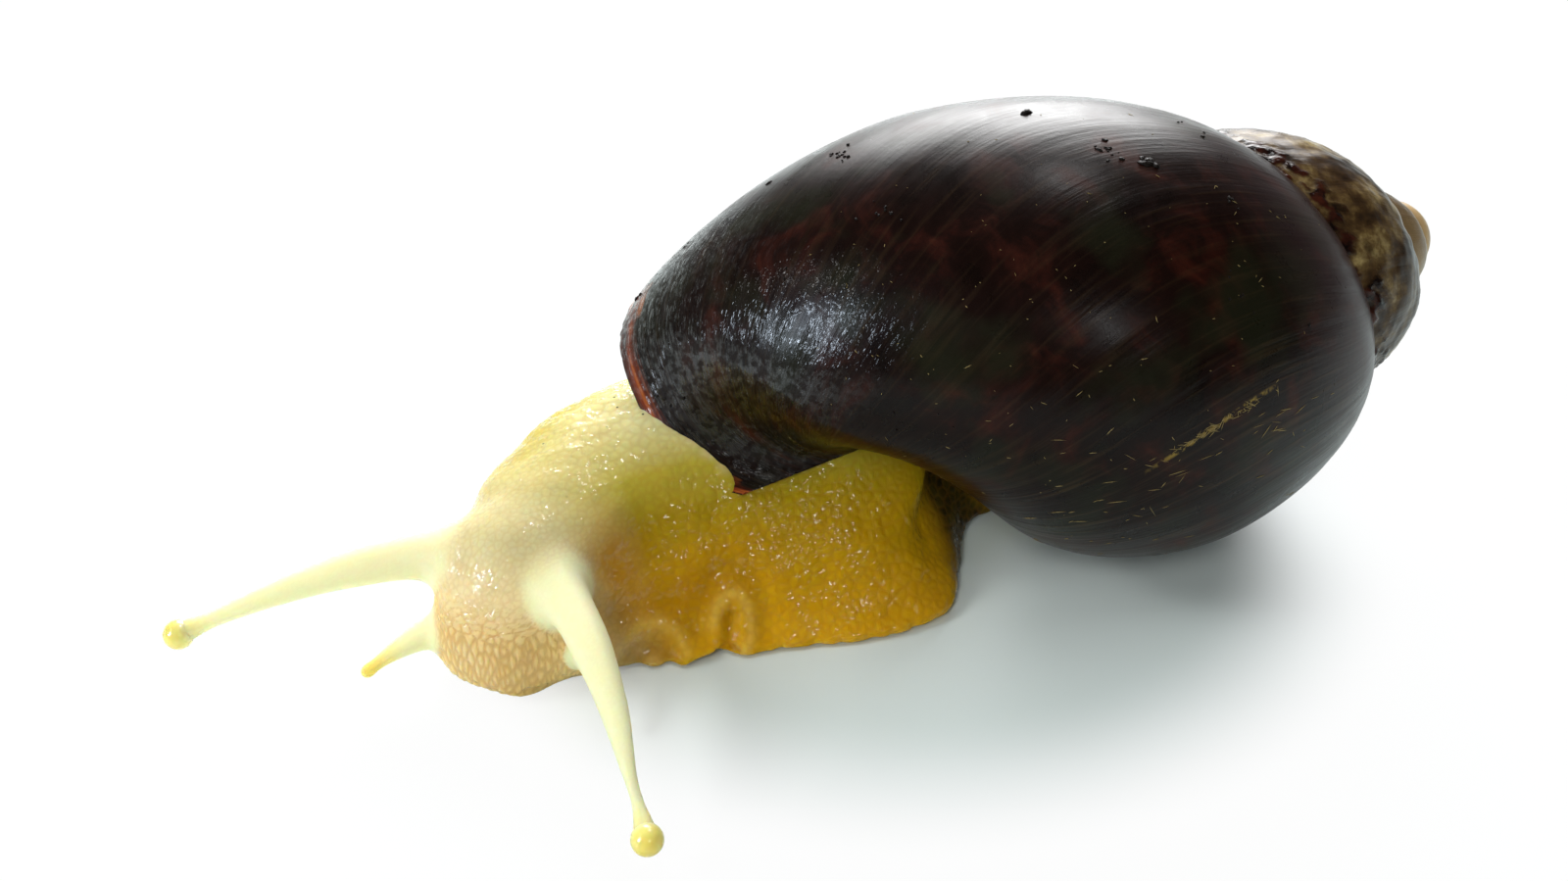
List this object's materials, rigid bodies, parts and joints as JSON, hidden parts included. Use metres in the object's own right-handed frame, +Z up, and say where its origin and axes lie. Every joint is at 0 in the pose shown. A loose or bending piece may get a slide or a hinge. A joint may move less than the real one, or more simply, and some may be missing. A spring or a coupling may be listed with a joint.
{
  "type": "giant african land snail",
  "caption": "Life-size giant African land snail crawling with its feelers out, dark glossy shell and pale body, as a still model.",
  "frame": {"origin": "on the floor, under the middle of the whole animal", "axes": "+Z up, -X the way the animal crawls, +X towards the apex of the shell, -Y its left side"},
  "size_m": [0.194, 0.1014, 0.0663],
  "materials": {
    "shell": "glossy, very dark reddish brown",
    "shell_spire": "satin, mottled olive and grey-brown",
    "shell_apex": "matte, tan",
    "mantle": "moist, ochre",
    "skin": "moist, pale cream yellow",
    "foot": "moist, yellow ochre",
    "eye": "glossy, orange-yellow"
  },
  "bodies": {
    "root": {"shell_body_whorl": "shell", "shell_spire": "shell_spire", "shell_apex": "shell_apex", "mantle_collar": "mantle", "upper_tentacle_left_base": "skin", "upper_tentacle_left_end": "skin", "eye_left": "eye", "upper_tentacle_right_base": "skin", "upper_tentacle_right_end": "skin", "eye_right": "eye", "lower_tentacle_left": "skin", "lower_tentacle_right": "skin", "tail": "foot", "foot": "foot", "neck": "skin", "head": "skin"}
  },
  "joints": []
}
